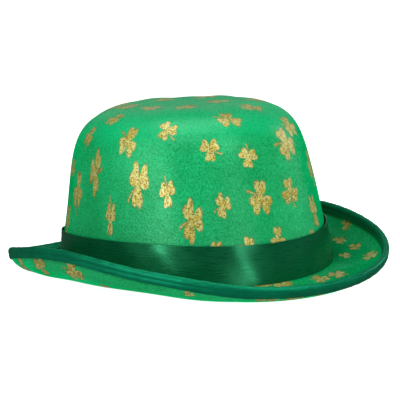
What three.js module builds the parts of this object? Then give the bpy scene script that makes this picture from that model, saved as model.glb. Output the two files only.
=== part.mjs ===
// A costume bowler hat: a domed felt crown, a felt brim that curls up at both sides, a satin ribbon
// round the foot of the crown, and a satin tape folded over the brim's edge.
// Millimetres, +Z up. The wearer looks along -Y, and +X is the wearer's left. The hat stands on the
// plane z = 0, on the front and back of its brim, and the origin is under the middle of the crown.

import * as THREE from 'three';

// Driving dimensions.
const crownLength = 203; // outside, front to back at the foot
const crownWidth = 183; // outside, side to side at the foot
const crownHeight = 113; // from the foot to the top
const crownWall = 2;
const footSaddle = 2.5; // the foot rises this much at the sides and sinks as much in front and behind
const brimLength = 298; // the felt, front to back
const brimWidth = 236; // the felt, side to side
const brimWall = 2.5;
const brimCurl = 25; // height of the brim's raised sides above the crown's foot
const brimDip = 11.3; // how far the brim is pulled down in front and behind
const restFlat = 1.2; // how far the felt is pressed flat where it stands
const ribbonWidth = 26;
const ribbonThickness = 1.2;
const tapeWidth = 7; // what shows of the tape on each face of the brim
const tapeThickness = 0.9;
const clearance = 0.3; // between pieces that touch

// The dome: how much narrower it is at the top, and how square its shoulder is.
const domeTaper = 0.196;
const domeShoulder = { upright: 8.8, flat: 4.2 };

// The height of the brim's edge round the hat, as shares of brimCurl. Angles are in degrees from +X
// towards +Y, evenly spaced.
const edgeHeights = [
  { angle: 0, share: 0.91 },
  { angle: 30, share: 0.71 },
  { angle: 60, share: 0.3 },
  { angle: 90, share: -0.1 },
  { angle: 120, share: 0.1 },
  { angle: 150, share: 0.63 },
  { angle: 180, share: 0.965 },
  { angle: 210, share: 0.585 },
  { angle: 240, share: 0.125 },
  { angle: 270, share: 0.02 },
  { angle: 300, share: 0.235 },
  { angle: 330, share: 0.605 },
];

// The pull of the brim's curve at its root and near its edge, at the sides and at the ends of the
// hat. Heights are shares of brimDip and of brimCurl, and reaches are shares of the brim's breadth.
const brimPull = {
  side: { rootReach: 0.57, rootDrop: -0.24, edgeReach: 1.05, edgeDrop: 0.67 },
  end: { rootReach: 0.57, rootDrop: 1, edgeReach: 0.98, edgeDrop: 0.12 },
};

// Facets.
const around = 64;
const domeSteps = { outside: 20, inside: 15 };
const brimSteps = 10;
const ribbonSteps = 2;
const foldSteps = 5;
const tapeSteps = 2;
const restSamples = 48; // along each section of the brim, to find its lowest felt

const angles = Array.from({ length: around }, (_, i) => (i / around) * 2 * Math.PI);
const mix = (a, b, share) => a + (b - a) * share;

// How far an angle points to a side of the hat: 1 at the sides and 0 in front and behind.
const sideways = (angle) => Math.cos(angle) ** 2;

// A point over the ellipse of the crown's foot grown by some margin.
const onFoot = (angle, margin) =>
  new THREE.Vector2(
    (crownWidth / 2 + margin) * Math.cos(angle),
    (crownLength / 2 + margin) * Math.sin(angle),
  );

// The height of the crown's foot, over the mean height of the foot.
const footRise = (angle) => footSaddle * Math.cos(2 * angle);

// A smooth closed curve through the table of edge heights.
function edgeRise(angle) {
  const count = edgeHeights.length;
  const place = ((angle / (2 * Math.PI)) * count + count) % count;
  const row = Math.floor(place);
  const share = (step) => edgeHeights[(row + step + count) % count].share;
  const t = place - row;
  const even = 2 * share(0) + (share(1) - share(-1)) * t;
  const bend = 2 * share(-1) - 5 * share(0) + 4 * share(1) - share(2);
  const twist = 3 * (share(0) - share(1)) + share(2) - share(-1);
  return (brimCurl * (even + bend * t ** 2 + twist * t ** 3)) / 2;
}

// The brim's middle surface in the upright plane at one angle: a flat seat under the crown and the
// ribbon, and then one curve out to the edge. Points have x = reach from the seat and y = height
// over the mean foot.
function brimSection(angle) {
  const seatStart = onFoot(angle, -crownWall);
  const seatEnd = onFoot(angle, clearance + ribbonThickness + clearance);
  const edge = new THREE.Vector2((brimWidth / 2) * Math.cos(angle), (brimLength / 2) * Math.sin(angle));
  const breadth = edge.distanceTo(seatEnd);
  const outward = edge.clone().sub(seatEnd).divideScalar(breadth);
  const side = sideways(angle);
  const pull = (name) => mix(brimPull.end[name], brimPull.side[name], side);
  const seatHeight = footRise(angle) - clearance - brimWall / 2;
  const edgeHeight = edgeRise(angle);
  const curve = new THREE.CubicBezierCurve(
    new THREE.Vector2(0, seatHeight),
    new THREE.Vector2(pull('rootReach') * breadth, seatHeight - pull('rootDrop') * brimDip),
    new THREE.Vector2(pull('edgeReach') * breadth, edgeHeight - pull('edgeDrop') * brimCurl),
    new THREE.Vector2(breadth, edgeHeight),
  );
  return { seatStart, seatEnd, outward, seatHeight, curve, length: curve.getLength() };
}

const sections = angles.map(brimSection);

// The mean foot stands so high that the lowest felt is pressed flat by restFlat.
const lowest = Math.min(...sections.flatMap((s) => s.curve.getPoints(restSamples).map((p) => p.y)));
const footHeight = brimWall / 2 - lowest - restFlat;

// A point of the brim at a share of its curve, moved off the middle surface to a side of the felt.
// The felt lies flat where it would reach below z = 0.
function brimPoint(section, share, offset) {
  const middle = section.curve.getPointAt(share);
  const pressed = middle.y + footHeight < brimWall / 2;
  const along = pressed ? new THREE.Vector2(1, 0) : section.curve.getTangentAt(share);
  const height = pressed ? brimWall / 2 : middle.y + footHeight;
  const reach = middle.x - along.y * offset;
  return new THREE.Vector3(
    section.seatEnd.x + section.outward.x * reach,
    section.seatEnd.y + section.outward.y * reach,
    height + along.x * offset,
  );
}

// Joins rings of points into one closed mesh. Rings run round the hat with the angle, and follow
// one another so that their outside lies to the left. Two poles close it, or it closes on itself.
function closedShell(rings, poles) {
  const count = rings[0].length;
  const points = rings.flat();
  const faces = [];
  const joined = poles ? rings.length - 1 : rings.length;
  for (let ring = 0; ring < joined; ring += 1) {
    const here = ring * count;
    const next = ((ring + 1) % rings.length) * count;
    for (let i = 0; i < count; i += 1) {
      const j = (i + 1) % count;
      const [a, b, c, d] = [here + i, next + i, next + j, here + j];
      const shorter = points[a].distanceTo(points[c]) < points[b].distanceTo(points[d]);
      faces.push(...(shorter ? [a, b, c, a, c, d] : [a, b, d, b, c, d]));
    }
  }
  if (poles) {
    const first = points.push(poles.first) - 1;
    const last = points.push(poles.last) - 1;
    const end = (rings.length - 1) * count;
    for (let i = 0; i < count; i += 1) {
      const j = (i + 1) % count;
      faces.push(first, i, j, last, end + j, end + i);
    }
  }
  const geometry = new THREE.BufferGeometry().setFromPoints(points);
  geometry.setIndex(faces);
  geometry.computeVertexNormals();
  return geometry;
}

// How wide the dome is at a share of its height, as a share of its foot.
const domeWidthAt = (height) =>
  (1 - domeTaper * height) *
  (1 - Math.max(height, 0) ** domeShoulder.upright) ** (1 / domeShoulder.flat);

// The dome's upright outline: x is the share of the foot's half size, and y the share of the height.
class DomeOutline extends THREE.Curve {
  getPoint(share, target = new THREE.Vector2()) {
    const height = Math.sin((share * Math.PI) / 2) ** (2 / domeShoulder.upright);
    return target.set(domeWidthAt(height), height);
  }
}

// A point of the dome, inset from its outside, at a share of its height. The foot's rise and fall
// fades out towards the top.
function domePoint(angle, height, inset) {
  const raised = height + (footRise(angle) / crownHeight) * (1 - height) ** 2;
  const width = domeWidthAt(raised);
  const foot = onFoot(angle, -inset);
  return new THREE.Vector3(foot.x * width, foot.y * width, footHeight + raised * (crownHeight - inset));
}

function crown() {
  const heights = (steps) => new DomeOutline().getSpacedPoints(steps).slice(0, -1).map((p) => p.y);
  const ring = (height, inset) => angles.map((angle) => domePoint(angle, height, inset));
  const outside = heights(domeSteps.outside).reverse().map((height) => ring(height, 0));
  const inside = heights(domeSteps.inside).map((height) => ring(height, crownWall));
  const top = (inset) => new THREE.Vector3(0, 0, footHeight + crownHeight - inset);
  return closedShell([...outside, ...inside], { first: top(0), last: top(crownWall) });
}

// The tape lies flat on each face of the brim, from its inner border to where it turns round the edge.
const tapeFlat = tapeWidth - brimWall / 2 - clearance - tapeThickness;

// The shares of a section's curve where the felt has a ring under the tape.
const underTape = (section) =>
  Array.from({ length: tapeSteps + 1 }, (_, i) => 1 - (tapeFlat / section.length) * (1 - i / tapeSteps));

// The shares of a section's curve where the felt has a ring in the open.
const inTheOpen = (section) =>
  Array.from({ length: brimSteps - 1 }, (_, i) => (underTape(section)[0] * (i + 1)) / brimSteps);

function brim() {
  const skin = (offset) => {
    const onSeat = (name) =>
      sections.map((s) => new THREE.Vector3(s[name].x, s[name].y, footHeight + s.seatHeight + offset));
    const shares = sections.map((s) => [...inTheOpen(s), ...underTape(s)]);
    const curled = shares[0].map((_, ring) => sections.map((s, i) => brimPoint(s, shares[i][ring], offset)));
    return [onSeat('seatStart'), onSeat('seatEnd'), ...curled];
  };
  return closedShell([...skin(brimWall / 2), ...skin(-brimWall / 2).reverse()]);
}

// The ribbon stands round the foot of the crown, follows the foot's rise and fall, and leans with
// the dome.
function hatBand() {
  const heights = Array.from({ length: ribbonSteps + 1 }, (_, i) => (i / ribbonSteps) * ribbonWidth);
  const point = (angle, up, margin) => {
    const height = footRise(angle) + up;
    const spot = onFoot(angle, 0).multiplyScalar(domeWidthAt(height / crownHeight));
    spot.setLength(spot.length() + margin);
    return new THREE.Vector3(spot.x, spot.y, footHeight + height);
  };
  const face = (margin) => heights.map((up) => angles.map((angle) => point(angle, up, margin)));
  return closedShell([...face(clearance + ribbonThickness).reverse(), ...face(clearance)]);
}

// The tape is folded round the edge of the felt.
function brimBinding() {
  const fold = Array.from({ length: foldSteps - 1 }, (_, i) => (0.5 - (i + 1) / foldSteps) * Math.PI);
  const skin = (offset) => {
    const face = (side) =>
      Array.from({ length: tapeSteps + 1 }, (_, ring) =>
        sections.map((s) => brimPoint(s, underTape(s)[ring], side * offset)),
      );
    const turned = fold.map((turn) =>
      sections.map((s) => {
        const end = brimPoint(s, 1, 0);
        const along = s.curve.getTangentAt(1);
        const out = offset * (along.x * Math.cos(turn) - along.y * Math.sin(turn));
        const up = offset * (along.y * Math.cos(turn) + along.x * Math.sin(turn));
        return new THREE.Vector3(end.x + s.outward.x * out, end.y + s.outward.y * out, end.z + up);
      }),
    );
    return [...face(1), ...turned, ...face(-1).reverse()];
  };
  const inner = brimWall / 2 + clearance;
  return closedShell([...skin(inner + tapeThickness), ...skin(inner).reverse()]);
}

const felt = { color: 0x0f9a58, roughness: 0.85, metalness: 0 };
const satin = { color: 0x0a4f30, roughness: 0.4, metalness: 0 };
const tape = { color: 0x0b7353, roughness: 0.45, metalness: 0 };

function piece(name, geometry, finish) {
  const mesh = new THREE.Mesh(geometry, new THREE.MeshStandardMaterial(finish));
  mesh.name = name;
  return mesh;
}

const hat = new THREE.Group();
hat.add(
  piece('crown', crown(), felt),
  piece('brim', brim(), felt),
  piece('hat_band', hatBand(), satin),
  piece('brim_binding', brimBinding(), tape),
);

export default hat;
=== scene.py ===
import math

import bpy
import numpy as np
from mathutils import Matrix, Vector


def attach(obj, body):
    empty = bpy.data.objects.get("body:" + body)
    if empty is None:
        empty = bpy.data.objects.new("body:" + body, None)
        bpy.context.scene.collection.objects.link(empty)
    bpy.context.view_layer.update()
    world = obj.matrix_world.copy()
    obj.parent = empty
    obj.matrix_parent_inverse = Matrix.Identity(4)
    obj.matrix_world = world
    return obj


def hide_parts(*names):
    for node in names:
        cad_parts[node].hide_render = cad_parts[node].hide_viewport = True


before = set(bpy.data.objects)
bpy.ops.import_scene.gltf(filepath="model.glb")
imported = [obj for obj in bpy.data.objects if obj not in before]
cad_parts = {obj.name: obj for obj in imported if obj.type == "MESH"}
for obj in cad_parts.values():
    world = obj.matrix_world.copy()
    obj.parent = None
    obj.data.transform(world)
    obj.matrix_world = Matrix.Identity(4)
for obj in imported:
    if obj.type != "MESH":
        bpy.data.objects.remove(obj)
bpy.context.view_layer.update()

# A costume bowler: crown and brim of velvet-faced felt with foil shamrocks, a satin ribbon round the
# crown and a satin tape folded over the brim's edge. Lengths are in metres. Turns run from +X towards
# +Y, in degrees in the tables and in radians in the code. The forms repeat those of the part's solids.

hat = {
    "crownLength": 0.203,
    "crownWidth": 0.183,
    "crownHeight": 0.113,
    "crownWall": 0.002,
    "footSaddle": 0.0025,  # the foot is this much higher at the sides
    "domeTaper": 0.196,
    "domeUpright": 8.8,
    "domeFlat": 4.2,
    "brimLength": 0.298,
    "brimWidth": 0.236,
    "brimWall": 0.0025,
    "brimCurl": 0.025,
    "brimDip": 0.0113,
    "ribbonWidth": 0.026,
    "ribbonThickness": 0.0012,
    "tapeWidth": 0.007,
    "tapeThickness": 0.0009,
    "clearance": 0.0003,
    "footHeight": 0.00939,  # the mean foot over the floor
    "restSoftness": 0.0004,  # how gently the felt leaves the floor where it is pressed flat
}
edgeShares = [0.91, 0.71, 0.3, -0.1, 0.1, 0.63, 0.965, 0.585, 0.125, 0.02, 0.235, 0.605]
brimPull = {
    "end": {"rootReach": 0.57, "rootDrop": 1, "edgeReach": 0.98, "edgeDrop": 0.12},
    "side": {"rootReach": 0.57, "rootDrop": -0.24, "edgeReach": 1.05, "edgeDrop": 0.67},
}
seatRoom = 2 * hat["clearance"] + hat["ribbonThickness"]  # from the crown to where the brim bends


def footRise(turn):
    return hat["footSaddle"] * np.cos(2 * turn)


def onFoot(turn, margin):
    across = (hat["crownWidth"] / 2 + margin) * np.cos(turn)
    along = (hat["crownLength"] / 2 + margin) * np.sin(turn)
    return np.stack([across, along], axis=-1)


def domeWidthAt(height):
    shoulder = 1 - np.clip(height, 0, 1) ** hat["domeUpright"]
    return (1 - hat["domeTaper"] * height) * shoulder ** (1 / hat["domeFlat"])


def domePoint(turn, height):  # height is a share of the crown's
    raised = height + footRise(turn) / hat["crownHeight"] * (1 - height) ** 2
    spot = onFoot(turn, 0) * domeWidthAt(raised)[..., None]
    up = hat["footHeight"] + raised * hat["crownHeight"]
    return np.concatenate([spot, up[..., None]], axis=-1)


def domeOutline():  # shares of the way from foot to top, and the shares of the height there
    stops, stopsInFirst = 4001, 200  # the first step is by far the longest, so it is divided again
    heights = np.sin(np.linspace(0, math.pi / 2, stops)) ** (2 / hat["domeUpright"])
    heights = np.concatenate([np.linspace(0, heights[1], stopsInFirst)[:-1], heights[1:]])
    meanRadius = (hat["crownLength"] + hat["crownWidth"]) / 4
    widths = domeWidthAt(heights) * meanRadius
    steps = np.hypot(np.diff(widths), np.diff(heights) * hat["crownHeight"])
    way = np.concatenate([[0], np.cumsum(steps)])
    return way / way[-1], heights


outlineWay, outlineHeights = domeOutline()


def crownPoint(turn, way):  # way is the share of the way up the dome's outline
    return domePoint(turn, np.interp(way, outlineWay, outlineHeights))


def edgeRise(turn):
    count = len(edgeShares)
    place = (turn / (2 * math.pi) * count) % count
    row = np.floor(place).astype(int)
    t = place - row
    before, here, after, later = (np.take(edgeShares, (row + step) % count) for step in (-1, 0, 1, 2))
    even = 2 * here + (after - before) * t
    bend = 2 * before - 5 * here + 4 * after - later
    twist = 3 * (here - after) + later - before
    return hat["brimCurl"] * (even + bend * t**2 + twist * t**3) / 2


def bezier(stops, t):
    a, b, c, d = stops
    return a * (1 - t) ** 3 + 3 * b * t * (1 - t) ** 2 + 3 * c * t**2 * (1 - t) + d * t**3


def bezierSlope(stops, t):
    a, b, c, d = stops
    return 3 * ((b - a) * (1 - t) ** 2 + 2 * (c - b) * t * (1 - t) + (d - c) * t**2)


def brimCurve(turn):  # where a section starts, its direction, and the stops of its reach and height
    seat = onFoot(turn, seatRoom)
    edge = np.stack([hat["brimWidth"] / 2 * np.cos(turn), hat["brimLength"] / 2 * np.sin(turn)], -1)
    breadth = np.linalg.norm(edge - seat, axis=-1)
    outward = (edge - seat) / breadth[..., None]
    side = np.cos(turn) ** 2
    pull = {}
    for name, atEnd in brimPull["end"].items():
        pull[name] = atEnd + (brimPull["side"][name] - atEnd) * side
    low = footRise(turn) - hat["clearance"] - hat["brimWall"] / 2
    high = edgeRise(turn)
    reach = [0 * breadth, pull["rootReach"] * breadth, pull["edgeReach"] * breadth, breadth]
    rise = [low, low - pull["rootDrop"] * hat["brimDip"], high - pull["edgeDrop"] * hat["brimCurl"], high]
    return seat, outward, reach, rise


def brimSpot(turn, way):  # spot, outward and the section's tangent, at a share of the way to the edge
    turn, way = np.broadcast_arrays(np.asarray(turn, float), np.asarray(way, float))
    seat, outward, reach, rise = brimCurve(turn)
    cuts = 100
    fine = np.linspace(0, 1, cuts + 1)
    steps = np.hypot(
        np.diff(bezier([stop[..., None] for stop in reach], fine)),
        np.diff(bezier([stop[..., None] for stop in rise], fine)),
    )
    lengths = np.cumsum(steps, axis=-1)
    lengths = np.concatenate([0 * lengths[..., :1], lengths], axis=-1)
    wanted = way * lengths[..., -1]
    after = np.clip((lengths < wanted[..., None]).sum(axis=-1), 1, cuts)
    near = np.take_along_axis(lengths, after[..., None] - 1, -1)[..., 0]
    far = np.take_along_axis(lengths, after[..., None], -1)[..., 0]
    t = (after - 1 + (wanted - near) / (far - near)) / cuts
    height = bezier(rise, t) + hat["footHeight"] - hat["brimWall"] / 2
    soft = np.hypot(height, hat["restSoftness"])
    height = (height + soft) / 2 + hat["brimWall"] / 2
    upwards = bezierSlope(rise, t) * (height - hat["brimWall"] / 2) / soft
    along = np.stack([bezierSlope(reach, t), upwards], -1)
    along = along / np.linalg.norm(along, axis=-1, keepdims=True)
    middle = np.concatenate([seat + outward * bezier(reach, t)[..., None], height[..., None]], axis=-1)
    return middle, outward, along, lengths[..., -1]


def brimPoint(turn, way, offset=0.0):  # offset is from the middle of the felt, towards its upper face
    middle, outward, along, _ = brimSpot(turn, way)
    out = -along[..., 1] * offset
    up = along[..., 0] * offset
    return middle + np.concatenate([outward * out[..., None], up[..., None]], axis=-1)


# Meshes, made as by hand: a ring is drawn out into a sleeve, and the sleeve is pushed into its form.


def editMesh(piece):
    bpy.ops.object.select_all(action="DESELECT")
    piece.select_set(True)
    bpy.context.view_layer.objects.active = piece
    bpy.ops.object.mode_set(mode="EDIT")
    bpy.ops.mesh.select_all(action="SELECT")


def leaveMesh():
    bpy.ops.object.mode_set(mode="OBJECT")


def sleeve(name, around, steps, closedTop=False):  # radius 1, height 1, a ring of vertices at each step
    bpy.ops.object.select_all(action="DESELECT")
    bpy.ops.mesh.primitive_circle_add(vertices=around, radius=1, fill_type="NOTHING", location=(0, 0, 0))
    piece = bpy.context.object
    piece.name = name
    piece.data.name = name
    editMesh(piece)
    drawn = steps - 1 if closedTop else steps
    bpy.ops.mesh.extrude_repeat(steps=drawn, offset=(0, 0, 1 / steps))
    if closedTop:
        bpy.ops.mesh.extrude_region_move(TRANSFORM_OT_translate={"value": (0, 0, 1 / steps)})
        bpy.ops.mesh.merge(type="CENTER")
    leaveMesh()
    return piece


def readPoints(piece):
    points = np.empty(3 * len(piece.data.vertices), np.float32)
    piece.data.vertices.foreach_get("co", points)
    return points.reshape(-1, 3).astype(float)


def pushPoints(piece, place):  # place takes each vertex's turn and its share of the sleeve's height
    start = readPoints(piece)
    turn = np.arctan2(start[:, 1], start[:, 0])
    points = place(turn, np.clip(start[:, 2], 0, 1))
    piece.data.vertices.foreach_set("co", points.astype(np.float32).ravel())
    piece.data.update()
    editMesh(piece)
    bpy.ops.mesh.normals_make_consistent(inside=False)
    leaveMesh()


def thicken(piece, thickness, offset, innerSlot=0):
    wall = piece.modifiers.new("wall", "SOLIDIFY")
    wall.thickness = thickness
    wall.offset = offset
    wall.use_quality_normals = True
    wall.material_offset = innerSlot
    bpy.ops.object.modifier_apply(modifier=wall.name)


def smooth(piece, degrees):
    bpy.ops.object.select_all(action="DESELECT")
    piece.select_set(True)
    bpy.context.view_layer.objects.active = piece
    bpy.ops.object.shade_smooth_by_angle(angle=math.radians(degrees))


# Foil shamrocks: each face of the mesh keeps, in the UV map foilPrint, its place on the nearest
# shamrock, whose stem points down and whose leaves reach 1 from the middle.


def localFrame(pointAt, turn, way):  # a spot and its directions round, onward and outward
    step = 0.001
    upper = min(way + step, 0.9999)  # stays short of the end of the form
    spot = pointAt(np.array(turn), np.array(way))
    east = pointAt(np.array(turn + step), np.array(way)) - pointAt(np.array(turn - step), np.array(way))
    onward = pointAt(np.array(turn), np.array(upper)) - pointAt(np.array(turn), np.array(upper - 2 * step))
    east = east / np.linalg.norm(east)
    onward = onward - east * (onward @ east)
    onward = onward / np.linalg.norm(onward)
    return spot, east, onward, np.cross(east, onward)


printing = {
    "reach": 3.0,  # in shamrocks: faces farther off keep no place
    "unprinted": 9.0,  # the place of a face without a shamrock
    "facing": 0.2,  # how far a face has to look the shamrock's way
    "depth": 0.02,  # in metres: the farthest that a face lies over or under its shamrock
}


def readFaces(mesh, attribute):
    values = np.empty(3 * len(mesh.polygons), np.float32)
    mesh.polygons.foreach_get(attribute, values)
    return values.reshape(-1, 3)


def printFoil(piece, prints):
    mesh = piece.data
    faces = len(mesh.polygons)
    centres = readFaces(mesh, "center")
    normals = readFaces(mesh, "normal")
    corners = np.empty(faces, np.int32)
    mesh.polygons.foreach_get("loop_total", corners)
    faceOfCorner = np.repeat(np.arange(faces), corners)
    vertexOfCorner = np.empty(len(mesh.loops), np.int32)
    mesh.loops.foreach_get("vertex_index", vertexOfCorner)
    points = readPoints(piece)[vertexOfCorner]
    nearest = np.full(faces, printing["reach"])
    chosen = np.full(faces, -1)
    for number, (spot, east, onward, outward, width, height, _) in enumerate(prints):
        away = centres - spot
        reach = np.hypot(away @ east / width, away @ onward / height)
        reach[normals @ outward < printing["facing"]] = printing["unprinted"]
        reach[np.abs(away @ outward) > printing["depth"]] = printing["unprinted"]
        closer = reach < nearest
        nearest[closer] = reach[closer]
        chosen[closer] = number
    uv = np.full((len(mesh.loops), 2), printing["unprinted"])
    for number, (spot, east, onward, outward, width, height, lean) in enumerate(prints):
        here = chosen[faceOfCorner] == number
        away = points[here] - spot
        x = away @ east / width
        y = away @ onward / height
        turned = -math.pi / 2 - lean
        uv[here, 0] = x * math.cos(turned) - y * math.sin(turned)
        uv[here, 1] = x * math.sin(turned) + y * math.cos(turned)
    layer = mesh.uv_layers.new(name="foilPrint")
    layer.data.foreach_set("uv", uv.astype(np.float32).ravel())


# Finishes


def srgb(red, green, blue):
    shares = [channel / 255 for channel in (red, green, blue)]
    linear = [s / 12.92 if s <= 0.04045 else ((s + 0.055) / 1.055) ** 2.4 for s in shares]
    return (*linear, 1)


class Wire:  # an output of a node; Python's operators on it add Math nodes
    def __init__(self, nodes, socket):
        self.nodes = nodes
        self.socket = socket

    def math(self, operation, *others):
        values = dict(enumerate((self, *others)))
        return self.nodes.add("ShaderNodeMath", {"operation": operation}, values)

    def __add__(self, other):
        return self.math("ADD", other)

    def __radd__(self, other):
        return self.math("ADD", other)

    def __sub__(self, other):
        return self.math("SUBTRACT", other)

    def __rsub__(self, other):
        return self.nodes.add("ShaderNodeMath", {"operation": "SUBTRACT"}, {0: other, 1: self})

    def __mul__(self, other):
        return self.math("MULTIPLY", other)

    def __rmul__(self, other):
        return self.math("MULTIPLY", other)

    def __truediv__(self, other):
        return self.math("DIVIDE", other)

    def __pow__(self, other):
        return self.math("POWER", other)

    def __abs__(self):
        return self.math("ABSOLUTE")

    def least(self, other):
        return self.math("MINIMUM", other)

    def most(self, other):
        return self.math("MAXIMUM", other)

    def between(self, low, high):  # 0 below low, 1 above high, and a soft step between
        sockets = {"Value": self, "From Min": low, "From Max": high}
        return self.nodes.add("ShaderNodeMapRange", {"interpolation_type": "SMOOTHSTEP"}, sockets)

    def fade(self, start, end, first, last):  # from first to last in a straight line
        sockets = {"Value": self, "From Min": start, "From Max": end, "To Min": first, "To Max": last}
        return self.nodes.add("ShaderNodeMapRange", {}, sockets)


class Nodes:  # an emptied node tree, filled by calls that return wires
    def __init__(self, tree):
        self.tree = tree
        self.tree.nodes.clear()

    def add(self, kind, settings=None, sockets=None, out=0):
        node = self.tree.nodes.new(kind)
        for name, value in (settings or {}).items():
            if name == "stops":
                self.setStops(node.color_ramp, value)
            else:
                setattr(node, name, value)
        for place, value in (sockets or {}).items():
            if isinstance(value, Wire):
                self.tree.links.new(value.socket, node.inputs[place])
            else:
                node.inputs[place].default_value = value
        return Wire(self, node.outputs[out]) if len(node.outputs) else None

    def setStops(self, ramp, stops):  # pairs of a place and a grey
        while len(ramp.elements) < len(stops):
            ramp.elements.new(0.5)
        for element, (place, grey) in zip(ramp.elements, stops):
            element.position = place
            element.color = (grey, grey, grey, 1)


class Finish(Nodes):
    def __init__(self, name):
        self.material = bpy.data.materials.new(name)
        self.material.use_nodes = True
        super().__init__(self.material.node_tree)

    def mix(self, share, first, second):
        return self.add("ShaderNodeMix", {"data_type": "RGBA"}, {0: share, 6: first, 7: second}, out=2)

    def objectPlace(self):
        return self.add("ShaderNodeTexCoord", out="Object")

    def stretched(self, place, scale):
        return self.add("ShaderNodeMapping", {}, {"Vector": place, "Scale": scale})

    def noise(self, place, perMetre, detail=2, roughness=0.5, distortion=0):
        sockets = {"Vector": place, "Scale": perMetre, "Detail": detail, "Roughness": roughness}
        sockets["Distortion"] = distortion
        return self.add("ShaderNodeTexNoise", {}, sockets)

    def bump(self, height, strength, distance):
        sockets = {"Height": height, "Strength": strength, "Distance": distance}
        return self.add("ShaderNodeBump", {}, sockets)

    def shader(self, sockets):
        return self.add("ShaderNodeBsdfPrincipled", {}, sockets)

    def mixShaders(self, share, first, second):
        return self.add("ShaderNodeMixShader", {}, {0: share, 1: first, 2: second})

    def finish(self, surface):
        self.add("ShaderNodeOutputMaterial", {}, {"Surface": surface})
        return self.material


foil = {
    "gold": srgb(200, 170, 38),
    "pale": srgb(210, 202, 124),
    "brown": srgb(118, 90, 30),
    "stemLength": 1.22,
    "stemWidth": 0.06,
    "stemTaper": 0.03,
    "stemBend": 0.16,
    "brownEdge": 0.12,  # in shares of the shamrock's reach, as its two neighbours are
    "raggedEdge": 0.12,
    "softEdge": (-0.03, 0.05),
    "grainPerMetre": 960,
    "blotchesPerMetre": 420,
    "flecks": (0.4, 0.5),  # brown under these values of the grain
    "cream": (0.55, 0.68),  # pale over these values of grain and blotches
    "worn": (0.3, 0.48),  # the pile shows through in specks under these
    "wornLeast": 0.3,  # how much foil a worn speck keeps
    "wornMost": 0.9,  # and how dense the rest is
    "metallic": 0.45,
    "roughness": 0.4,
    "lacquer": 0.4,
    "lacquerRoughness": 0.3,
    "relief": 0.7,
    "reliefDepth": 0.0005,
}
leafOutline = [
    # how far from a leaf's middle line to the next gap, and the outline's reach there
    (0, 0.82),
    (0.13, 0.92),
    (0.27, 0.99),
    (0.4, 1.0),
    (0.53, 0.95),
    (0.65, 0.83),
    (0.76, 0.63),
    (0.87, 0.36),
    (1, 0.1),
]


def foilForm(finish):  # how far inside a shamrock's outline a place is, in shares of its reach
    spot = finish.add("ShaderNodeUVMap", {"uv_map": "foilPrint"})
    x = finish.add("ShaderNodeSeparateXYZ", {}, {0: spot}, out="X")
    y = finish.add("ShaderNodeSeparateXYZ", {}, {0: spot}, out="Y")
    reach = (x * x + y * y) ** 0.5
    third = x.math("ARCTAN2", y) / (2 * math.pi / 3) + 1.5
    fold = abs(third.math("FRACT") - 0.5) * 2
    outline = finish.add("ShaderNodeValToRGB", {"stops": leafOutline}, {"Fac": fold})
    leaves = outline * 1 - reach
    bend = x - y * y * foil["stemBend"]
    stemHalf = foil["stemWidth"] - y * foil["stemTaper"]
    stem = (stemHalf - abs(bend)).least(-1 * y).least(y + foil["stemLength"])
    return leaves.most(stem)


velvet = {
    "pile": srgb(0, 146, 80),
    "bright": srgb(6, 170, 104),
    # the colour after the next is a lighter green mixed in on the crown's top: painted light from above
    "paintedTopLight": srgb(12, 182, 114),
    "dark": srgb(0, 122, 62),
    "darkTones": (0.25, 0.5),
    "brightTones": (0.5, 0.72),
    "stands": (0.098, 0.112),  # heights of the crown's top, whose colour is lightened there as painted light from above, and where lying pile doesn't go dull
    "paintedTopLightShare": 0.6,
    "lies": (0.5, 0.8),  # how slanted the felt is seen where lying pile goes dull
    "gloss": 0.6,
    "glossTint": srgb(172, 255, 214),
    "roughness": 0.31,
    "roughnessVaries": 0.3,
    "glossSpecks": (0.4, 0.6),
    "dull": 0.95,
    "speckShine": 0.55,
    "cloudShine": 0.9,
    "sheen": 0.02,
    "sheenRoughness": 0.5,
    "sheenTint": srgb(100, 255, 190),
    "speckleDepth": 0.00025,
    "specklePerMetre": 800,
    "cloudPerMetre": 26,
    "crimpPerMetre": 430,
    "crimpStretch": (0.3, 0.3, 1),
}


def velvetFinish(name):
    finish = Finish(name)
    place = finish.objectPlace()
    speckle = finish.noise(place, velvet["specklePerMetre"], detail=2, roughness=0.6)
    cloud = finish.noise(place, velvet["cloudPerMetre"], detail=3, roughness=0.55, distortion=0.4)
    stretched = finish.stretched(place, velvet["crimpStretch"])
    crimp = finish.noise(stretched, velvet["crimpPerMetre"], distortion=0.6)
    height = finish.add("ShaderNodeSeparateXYZ", {}, {0: place}, out="Z")
    onCrownTop = height.between(*velvet["stands"])
    nap = napShader(finish, speckle, cloud, crimp, onCrownTop)

    grain = finish.noise(place, foil["grainPerMetre"], detail=2, roughness=0.6)
    blotch = finish.noise(place, foil["blotchesPerMetre"], detail=2)
    inside = foilForm(finish) + (grain - 0.5) * foil["raggedEdge"]
    leaf = leafShader(finish, grain, blotch, inside)
    worn = (grain * 0.6 + speckle * 0.6).between(*foil["worn"])
    density = worn * (foil["wornMost"] - foil["wornLeast"]) + foil["wornLeast"]
    return finish.finish(finish.mixShaders(inside.between(*foil["softEdge"]) * density, nap, leaf))


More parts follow.
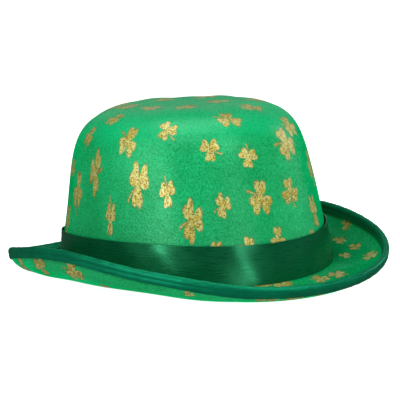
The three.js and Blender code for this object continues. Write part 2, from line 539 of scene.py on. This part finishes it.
def napShader(finish, speckle, cloud, crimp, onCrownTop):  # the pile shines in specks and patches
    tone = cloud * 0.5 + speckle * 0.7 + crimp * 0.3 - 0.25
    pile = finish.mix(tone.between(*velvet["darkTones"]), velvet["dark"], velvet["pile"])
    pile = finish.mix(tone.between(*velvet["brightTones"]), pile, velvet["bright"])
    # painted light: the pile's colour turns lighter on the crown's top, standing in for light falling on
    # it from above
    pile = finish.mix(onCrownTop * velvet["paintedTopLightShare"], pile, velvet["paintedTopLight"])
    relief = finish.bump(speckle + crimp * 0.4, 1, velvet["speckleDepth"])
    gloss = {
        "Base Color": pile,
        "Roughness": velvet["roughness"] + (speckle - 0.5) * velvet["roughnessVaries"],
        "Specular IOR Level": velvet["gloss"],
        "Specular Tint": velvet["glossTint"],
        "Normal": relief,
    }
    matte = {
        "Base Color": pile,
        "Roughness": 1,
        "Specular IOR Level": 0,
        "Sheen Weight": velvet["sheen"],
        "Sheen Roughness": velvet["sheenRoughness"],
        "Sheen Tint": velvet["sheenTint"],
        "Normal": relief,
    }
    slant = finish.add("ShaderNodeLayerWeight", {}, {"Blend": 0.5}, out="Facing")
    lying = slant.between(*velvet["lies"]) * (1 - onCrownTop)
    specks = speckle.between(*velvet["glossSpecks"])
    dull = lying + velvet["dull"] - specks * velvet["speckShine"] - cloud * velvet["cloudShine"]
    return finish.mixShaders(dull.most(0).least(1), finish.shader(gloss), finish.shader(matte))


def leafShader(finish, grain, blotch, inside):  # brown flecks on gold, cream patches, a brown outline
    metal = finish.mix(grain.between(*foil["flecks"]), foil["brown"], foil["gold"])
    metal = finish.mix((grain * 0.6 + blotch * 0.6).between(*foil["cream"]), metal, foil["pale"])
    metal = finish.mix(inside.between(0, foil["brownEdge"]), foil["brown"], metal)
    surface = {
        "Base Color": metal,
        "Metallic": foil["metallic"],
        "Roughness": foil["roughness"],
        "Coat Weight": foil["lacquer"],
        "Coat Roughness": foil["lacquerRoughness"],
        "Normal": finish.bump(grain, foil["relief"], foil["reliefDepth"]),
    }
    return finish.shader(surface)


feltBack = {
    "dark": srgb(4, 96, 50),
    "light": srgb(24, 132, 76),
    "fibresPerMetre": 1400,
    "cloudPerMetre": 35,
    "roughness": 0.95,
    "relief": 0.5,
    "reliefDepth": 0.0008,
}


def backingFinish(name):  # the felt's plain back, inside the crown
    finish = Finish(name)
    place = finish.objectPlace()
    fibre = finish.noise(place, feltBack["fibresPerMetre"], detail=4, roughness=0.7)
    cloud = finish.noise(place, feltBack["cloudPerMetre"], detail=3)
    tone = (fibre * 0.6 + cloud * 0.4).between(0.3, 0.7)
    surface = {
        "Base Color": finish.mix(tone, feltBack["dark"], feltBack["light"]),
        "Roughness": feltBack["roughness"],
        "Specular IOR Level": 0.1,
        "Normal": finish.bump(fibre, feltBack["relief"], feltBack["reliefDepth"]),
    }
    return finish.finish(finish.shader(surface))


satin = {
    "metallic": 0.6,
    "gloss": 0.6,
    "weftStretch": (90, 90, 1900),
    "cloudPerMetre": 60,
    "roughnessVaries": 0.3,
    "relief": 0.18,
    "reliefDepth": 0.0002,
}


def satinFinish(name, look):  # look is the satin entry of the piece's own dictionary
    finish = Finish(name)
    place = finish.objectPlace()
    weft = finish.noise(finish.stretched(place, satin["weftStretch"]), 1, detail=3, roughness=0.6)
    cloud = finish.noise(place, satin["cloudPerMetre"], detail=2)
    tone = (weft * 0.6 + cloud * 0.4).between(0.3, 0.7)
    surface = {
        "Base Color": finish.mix(tone, look["dark"], look["light"]),
        "Metallic": satin["metallic"],
        "Roughness": look["roughness"] + (weft - 0.5) * satin["roughnessVaries"],
        "Specular IOR Level": satin["gloss"],
        "Specular Tint": look["glossTint"],
        "Normal": finish.bump(weft, satin["relief"], satin["reliefDepth"]),
    }
    return finish.finish(finish.shader(surface))


def addPiece(piece, node):
    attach(piece, "root")
    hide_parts(node)


# Crown

crown = {
    "around": 240,
    "steps": 88,
    "wave": 0.00035,  # how uneven the moulded felt is
    "smoothUnder": 40,
}
crownPrints = [
    # turn, way up, half width and half height in mm, where the stem points
    (259.2, 0.307, 9.1, 13.3, 146),
    (216.5, 0.347, 5.8, 10.3, 97),
    (226.8, 0.245, 7.5, 16.1, 184),
    (240.8, 0.297, 5.6, 9.3, 192),
    (277.1, 0.313, 8.7, 9.7, 273),
    (294.7, 0.218, 6.7, 12.8, 205),
    (176.1, 0.414, 6.9, 17.6, -2),
    (202.8, 0.383, 8.1, 17.6, 204),
    (188.6, 0.246, 4.9, 12.7, 90),
    (194.8, 0.543, 7.7, 12.2, 139),
    (215.9, 0.597, 7.3, 8.7, 301),
    (253.4, 0.636, 9.1, 10.2, 146),
    (237.3, 0.506, 6.9, 8.9, 329),
    (255.9, 0.462, 7.4, 7.6, 77),
    (283.4, 0.487, 11.2, 12.5, 164),
    (163.0, 0.55, 7.0, 8.0, 262),
    (175.0, 0.645, 7.0, 8.0, 22),
    (161.0, 0.33, 7.5, 14.0, 270),
    (150.0, 0.409, 7.0, 7.0, 30),
    (152.0, 0.19, 6.0, 16.0, 90),
    (146.0, 0.766, 9.0, 9.0, 60),
    (182.0, 0.808, 8.5, 8.5, 10),
    (227.0, 0.811, 8.5, 8.5, 20),
    (90.0, 0.868, 8.5, 8.5, 200),
    (294.0, 0.865, 10.0, 9.0, 120),
    (14.0, 0.86, 9.0, 9.0, 30),
    (319.0, 0.726, 9.0, 9.0, 160),
    (284.0, 0.704, 9.0, 9.0, 250),
    (296.0, 0.548, 9.5, 9.0, 150),
    (308.0, 0.369, 7.0, 12.0, 250),
    (236.0, 0.1, 7.4, 13.0, 270),
    (249.5, 0.13, 7.0, 9.0, 250),
    (265.0, 0.15, 6.5, 9.5, 265),
    (287.0, 0.11, 5.0, 9.0, 270),
]
# The far side has rows of shamrocks, each row half a step on from the last.
hiddenRows = [
    # way up, half width and half height in mm
    (0.15, 7.0, 13.0),
    (0.3, 7.5, 12.5),
    (0.44, 7.5, 11.5),
    (0.58, 8.0, 10.0),
    (0.71, 8.5, 9.0),
]
hiddenCrown = {
    "from": 322,
    "to": 500,
    "step": 26.0,
    "topRows": 0.6,  # over this way up the crown is narrower, and the step wider
    "topStep": 31.2,
    "turnVaries": 3,
    "wayVaries": 0.015,
    "sizeVaries": 0.15,
    "seed": 7,
}


def crownFrames():
    rng = np.random.default_rng(hiddenCrown["seed"])
    rows = list(crownPrints)
    for number, (way, wide, high) in enumerate(hiddenRows):
        turn = hiddenCrown["from"] + number % 2 * hiddenCrown["step"] / 2
        while turn < hiddenCrown["to"]:
            jitter = rng.uniform(-1, 1, 5)
            size = 1 + hiddenCrown["sizeVaries"] * jitter[2]
            printTurn = turn + hiddenCrown["turnVaries"] * jitter[0]
            printWay = way + hiddenCrown["wayVaries"] * jitter[1]
            rows.append((printTurn, printWay, wide * size, high * size, 180 * jitter[3]))
            turn += hiddenCrown["step"] if way < hiddenCrown["topRows"] else hiddenCrown["topStep"]
    frames = []
    for turn, way, wide, high, lean in rows:
        local = localFrame(crownPoint, math.radians(turn), way)
        frames.append((*local, wide / 1000, high / 1000, math.radians(lean)))
    return frames


def crownForm(turn, way):
    points = crownPoint(turn, way)
    out = points * [1, 1, 0.6]  # outwards, more or less
    out = out / np.linalg.norm(out, axis=-1, keepdims=True)
    ripple = np.sin(5 * turn + 9 * way) + np.sin(3 * turn - 14 * way + 1) + np.sin(11 * turn + 5 * way + 2)
    stillTop = np.clip(3 * (1 - way), 0, 1)
    return points + out * (ripple * crown["wave"] * stillTop)[:, None]


crownFelt = sleeve("crown_felt", crown["around"], crown["steps"], closedTop=True)
pushPoints(crownFelt, crownForm)
crownFelt.data.materials.append(velvetFinish("velvet_crown_pile"))
crownFelt.data.materials.append(backingFinish("felt_back"))
thicken(crownFelt, hat["crownWall"], -1, innerSlot=1)
printFoil(crownFelt, crownFrames())
smooth(crownFelt, crown["smoothUnder"])
addPiece(crownFelt, "crown")
print("crown done")

# Brim

brim = {
    "around": 300,
    "steps": 40,
    "wave": 0.00025,
    "stillUnder": 0.004,  # the waves leave the felt on and near the floor as it is
    "smoothUnder": 40,
}
brimTopPrints = [
    # turn, way out, half width and half height in mm, where the stem points
    (344, 0.78, 6.5, 5.0, 200),
    (338, 0.35, 8.5, 4.5, 40),
    (328, 0.45, 8.5, 5.0, 160),
    (317, 0.18, 8.0, 4.5, 100),
    (314, 0.63, 9.0, 6.0, 300),
    (291, 0.22, 9.0, 6.0, 60),
    (281, 0.14, 8.0, 6.0, 200),
    (262, 0.07, 8.5, 8.0, 20),
    (253, 0.02, 8.5, 8.0, 140),
]
brimUnderPrints = [
    (170, 0.73, 9.0, 8.5, 105),
    (185, 0.72, 9.0, 9.0, 159),
    (156, 0.70, 8.5, 9.0, 20),
    (195, 0.36, 8.0, 9.0, 270),
    (221, 0.82, 4.0, 3.0, 70),
    (244, 0.86, 8.5, 8.0, 30),
    (253, 0.83, 8.0, 8.0, 200),
    (263, 0.86, 8.5, 7.0, 90),
]
hiddenBrim = {
    "ways": (0.22, 0.68),
    "step": 19.0,
    "top": (352, 598),
    "under": (275, 500),
    "half": 8.5,
    "turnVaries": 2,
    "wayVaries": 0.05,
    "sizeVaries": 0.12,
    "seed": 11,
}


def hiddenBrimRows(rng, start, end):
    rows = []
    for number, way in enumerate(hiddenBrim["ways"]):
        turn = start + number * hiddenBrim["step"] / 2
        while turn < end:
            jitter = rng.uniform(-1, 1, 4)
            half = hiddenBrim["half"] * (1 + hiddenBrim["sizeVaries"] * jitter[2])
            printTurn = turn + hiddenBrim["turnVaries"] * jitter[0]
            printWay = way + hiddenBrim["wayVaries"] * jitter[1]
            rows.append((printTurn, printWay, half, half, 180 * jitter[3]))
            turn += hiddenBrim["step"]
    return rows


def brimFrames():
    rng = np.random.default_rng(hiddenBrim["seed"])
    frames = []
    for side, prints, face in ((1, brimTopPrints, "top"), (-1, brimUnderPrints, "under")):
        offset = side * hat["brimWall"] / 2
        for turn, way, wide, high, lean in prints + hiddenBrimRows(rng, *hiddenBrim[face]):
            spot, east, onward, out = localFrame(
                lambda t, w: brimPoint(t, w, offset), math.radians(turn), way
            )
            frames.append((spot, east, onward, -side * out, wide / 1000, high / 1000, math.radians(lean)))
    return frames


def brimForm(turn, step):  # the first ring is the seat under the crown
    seatStep = 1 / brim["steps"]
    way = np.clip((step - seatStep) / (1 - seatStep), 0, 1)
    points = brimPoint(turn, way)
    seat = onFoot(turn, -hat["crownWall"])
    underCrown = step < seatStep / 2
    points[underCrown, :2] = seat[underCrown]
    ripple = np.sin(7 * turn + 4 * way) + np.sin(13 * turn - 6 * way + 1)
    inMiddle = np.clip(way, 0, 0.5) * (1 - way) * 4
    points[:, 2] += ripple * brim["wave"] * inMiddle * (points[:, 2] > brim["stillUnder"])
    return points


brimFelt = sleeve("brim_felt", brim["around"], brim["steps"])
pushPoints(brimFelt, brimForm)
brimFelt.data.materials.append(velvetFinish("velvet_brim_pile"))
thicken(brimFelt, hat["brimWall"], 0)
printFoil(brimFelt, brimFrames())
smooth(brimFelt, brim["smoothUnder"])
addPiece(brimFelt, "brim")
print("brim done")

# Ribbon round the crown

ribbon = {
    "around": 480,
    "steps": 16,
    "thickness": 0.0008,
    "proud": 0.0016,  # how far its upper edge stands off the felt at proudTurn
    "proudTurn": 235,
    "proudLeast": 0.25,  # the share of it that is left on the other side
    "rise": 0.0015,  # how much wider it shows at riseTurn
    "riseTurn": 195,
    "ripple": 0.00012,
    "join": {"from": 76, "to": 98, "over": 0.0008},  # at the back one end lies over the other
    "flat": (0.614, 0.026),
    "satin": {
        "light": srgb(0, 108, 64),
        "dark": srgb(0, 98, 58),
        "glossTint": srgb(205, 255, 240),
        "roughness": 0.3,
    },
    "smoothUnder": 50,
}


def ribbonForm(turn, step):
    toRise = 0.5 + 0.5 * np.cos(turn - math.radians(ribbon["riseTurn"]))
    up = step * (hat["ribbonWidth"] + ribbon["rise"] * toRise**3)
    height = (footRise(turn) + up) / hat["crownHeight"]
    spot = onFoot(turn, 0) * domeWidthAt(height)[:, None]
    size = np.linalg.norm(spot, axis=-1, keepdims=True)
    toProud = 0.5 + 0.5 * np.cos(turn - math.radians(ribbon["proudTurn"]))
    proud = ribbon["proud"] * (ribbon["proudLeast"] + (1 - ribbon["proudLeast"]) * toProud)
    join = ribbon["join"]
    along = (np.degrees(turn) - join["from"]) / (join["to"] - join["from"])
    lap = join["over"] * np.clip(along, 0, 1) * (along <= 1)
    ease = hat["clearance"] + hat["ribbonThickness"] / 2 + proud * step**2
    ripple = (np.sin(23 * turn + 5 * step) + np.sin(9 * turn - 7 * step)) * ribbon["ripple"]
    spot = spot / size * (size + (ease + ripple + lap)[:, None])
    return np.concatenate([spot, (hat["footHeight"] + footRise(turn) + up)[:, None]], axis=-1)


satinBand = sleeve("satin_band", ribbon["around"], ribbon["steps"])
pushPoints(satinBand, ribbonForm)
satinBand.data.materials.append(satinFinish("satin_ribbon", ribbon["satin"]))
thicken(satinBand, ribbon["thickness"], 0)
smooth(satinBand, ribbon["smoothUnder"])
addPiece(satinBand, "hat_band")
print("ribbon done")

# Tape over the brim's edge

tape = {
    "around": 480,
    "steps": 30,
    "thickness": 0.0009,
    "pucker": 0.00006,  # how uneven the sewn tape is
    "eased": 0.004,  # the tape follows the felt's direction over this length
    "roll": 0.28,  # how much fuller it is round the edge, as a share
    "crease": 0.00024,
    "creaseWidth": 0.0009,
    "creaseIn": 0.0014,  # from where the roll ends to the crease of each face
    "flat": (0.86, 0.0154),
    "satin": {
        "light": srgb(0, 132, 88),
        "dark": srgb(0, 104, 70),
        "glossTint": srgb(120, 255, 230),
        "roughness": 0.46,
    },
    "smoothUnder": 50,
}


def tapeForm(turn, step):  # from its border on the upper face, round the edge, to its lower border
    inner = hat["brimWall"] / 2 + hat["clearance"]
    middle = inner + hat["tapeThickness"] / 2
    flatPart = hat["tapeWidth"] - inner - hat["tapeThickness"]
    bendPart = math.pi * middle
    place = step * (2 * flatPart + bendPart)
    upper = place < flatPart
    lower = place > flatPart + bendPart
    bent = np.clip((place - flatPart) / bendPart, 0, 1) * math.pi
    back = np.where(upper, flatPart - place, np.where(lower, place - flatPart - bendPart, 0))
    _, _, _, length = brimSpot(turn, 1 + 0 * turn)
    spot, outward, _, _ = brimSpot(turn, 1 - back / length)
    inward, _, _, _ = brimSpot(turn, 1 - (back + tape["eased"] / 2) / length)
    onward, _, _, _ = brimSpot(turn, 1 - np.clip(back - tape["eased"] / 2, 0, 1) / length)
    change = onward - inward
    along = np.stack([(change[:, :2] * outward).sum(axis=-1), change[:, 2]], -1)
    along = along / np.linalg.norm(along, axis=-1, keepdims=True)
    swell = 1 + tape["roll"] * np.sin(bent) ** 2
    swell += (np.sin(61 * turn) + np.sin(97 * turn + 2)) * tape["pucker"] / middle
    crease = tape["crease"] * np.exp(-(((back - tape["creaseIn"]) / tape["creaseWidth"]) ** 2))
    high = np.cos(bent) * (middle * swell - crease)
    out = np.sin(bent) * middle * swell
    reach = along[:, 0] * out - along[:, 1] * high
    rise = along[:, 1] * out + along[:, 0] * high
    return spot + np.concatenate([outward * reach[:, None], rise[:, None]], axis=-1)


bindingTape = sleeve("binding_tape", tape["around"], tape["steps"])
pushPoints(bindingTape, tapeForm)
bindingTape.data.materials.append(satinFinish("satin_tape", tape["satin"]))
thicken(bindingTape, tape["thickness"], 0)
smooth(bindingTape, tape["smoothUnder"])
addPiece(bindingTape, "brim_binding")
print("tape done")

# Floor, lights and camera

studio = {
    "glow": {
        "under": 1.55,  # what the felt gets from under the horizon
        "over": 0.06,
        "fades": (-0.15, 0.15),
        "mirroredLow": 0.08,  # what shiny things mirror: low walls, high walls, and the room in front
        "mirroredHigh": 0.03,
        "wallsFade": (0.2, 0.6),
        "mirroredFront": 0.05,
        "front": (-0.645, -0.764, 0),
        "frontFades": (0.4, 0.9),
    },
    "floor": srgb(240, 240, 240),
    "floorGlow": 1.1,
    "floorSize": 16,
    "aim": (0, 0, 0.06),  # what the boxes look at
    "boxes": {
        # turn, rise and distance, how wide and high, power, does it fill, does it glint
        "leftLow": (192, 6, 1.6, 0.34, 0.8, 9, False, True),
        "leftHigh": (173, 30, 1.6, 0.5, 0.8, 5.5, False, True),
        "rightLow": (260, 3, 1.6, 0.32, 0.6, 3.6, False, True),
        "rightHigh": (268, 42, 1.6, 1.0, 0.5, 10, False, True),
        "sideBox": (353, 20, 2.0, 0.3, 0.9, 5, False, True),
        "backBox": (45, 20, 2.2, 1.8, 0.6, 1.3, False, True),
        "topBox": (55, 82, 1.8, 1.3, 1.3, 15, False, True),
        "leftFill": (150, 10, 2.0, 1.2, 1.2, 8, True, False),
        "rightFill": (318, 8, 2.0, 1.2, 1.2, 26, True, False),
        "frontFill": (255, 20, 2.4, 2.0, 1.2, 21, True, False),
        "topFill": (190, 60, 1.8, 1.2, 1.2, 27, True, False),
    },
}


def studioFloor():
    bpy.ops.object.select_all(action="DESELECT")
    bpy.ops.mesh.primitive_plane_add(size=studio["floorSize"], location=(0, 0, 0))
    floor = bpy.context.object
    floor.name = "floor"
    floor.visible_glossy = False  # the hat gets the world's glow instead
    floor.visible_diffuse = False
    finish = Finish("floor")
    surface = {
        "Base Color": studio["floor"],
        "Roughness": 0.9,
        "Specular IOR Level": 0.0,
        "Emission Color": studio["floor"],
        "Emission Strength": studio["floorGlow"],
    }
    floor.data.materials.append(finish.finish(finish.shader(surface)))


def studioWorld():  # white behind the hat, which it lights from under the horizon
    glow = studio["glow"]
    world = bpy.data.worlds.new("studio")
    world.use_nodes = True
    sky = Nodes(world.node_tree)
    place = sky.add("ShaderNodeTexCoord", out="Generated")
    up = sky.add("ShaderNodeSeparateXYZ", {}, {0: place}, out="Z")
    dot = {"operation": "DOT_PRODUCT"}
    ahead = sky.add("ShaderNodeVectorMath", dot, {0: place, 1: glow["front"]}, out="Value")
    toCamera = sky.add("ShaderNodeLightPath", out="Is Camera Ray")
    toGloss = sky.add("ShaderNodeLightPath", out="Is Glossy Ray")
    walls = up.fade(*glow["wallsFade"], glow["mirroredLow"], glow["mirroredHigh"])
    room = ahead.fade(*glow["frontFades"], walls, glow["mirroredFront"])
    soft = up.fade(*glow["fades"], glow["under"], glow["over"])
    seen = toCamera.fade(0, 1, soft, 1)
    sockets = {"Color": (1, 1, 1, 1), "Strength": toGloss.fade(0, 1, seen, room)}
    background = sky.add("ShaderNodeBackground", {}, sockets)
    sky.add("ShaderNodeOutputWorld", {}, {"Surface": background})
    bpy.context.scene.world = world


def softBox(name, turn, rise, distance, wide, high, power, fills, glints):
    data = bpy.data.lights.new(name, "AREA")
    data.shape = "RECTANGLE"
    data.size = wide
    data.size_y = high
    data.energy = power
    lamp = bpy.data.objects.new(name, data)
    bpy.context.scene.collection.objects.link(lamp)
    side = math.radians(turn)
    lift = math.radians(rise)
    aim = Vector(studio["aim"])
    away = Vector((math.cos(side) * math.cos(lift), math.sin(side) * math.cos(lift), math.sin(lift)))
    lamp.location = aim + away * distance
    lamp.rotation_euler = (-away).to_track_quat("-Z", "Y").to_euler()
    lamp.visible_camera = False
    lamp.visible_diffuse = fills
    lamp.visible_glossy = glints


studioFloor()
studioWorld()
for boxName, setting in studio["boxes"].items():
    softBox(boxName, *setting)

view = {
    "from": (-0.918988, -1.096795, 0.27944),
    "to": (0.037033, 0.034824, 0.04394),
    "roll": -3.496,
    "focal": 2056.767,  # in pixels
    "picture": 400,  # its width in pixels
    "sensor": 36,
}
cameraData = bpy.data.cameras.new("camera")
cameraData.sensor_width = view["sensor"]
cameraData.lens = view["focal"] / view["picture"] * view["sensor"]
camera = bpy.data.objects.new("camera", cameraData)
bpy.context.scene.collection.objects.link(camera)
look = Vector(view["to"]) - Vector(view["from"])
camera.location = view["from"]
camera.rotation_euler = look.to_track_quat("-Z", "Y").to_euler()
camera.rotation_euler.rotate_axis("Z", math.radians(view["roll"]))
bpy.context.scene.camera = camera
bpy.context.scene.view_settings.view_transform = "Standard"
print("studio done")
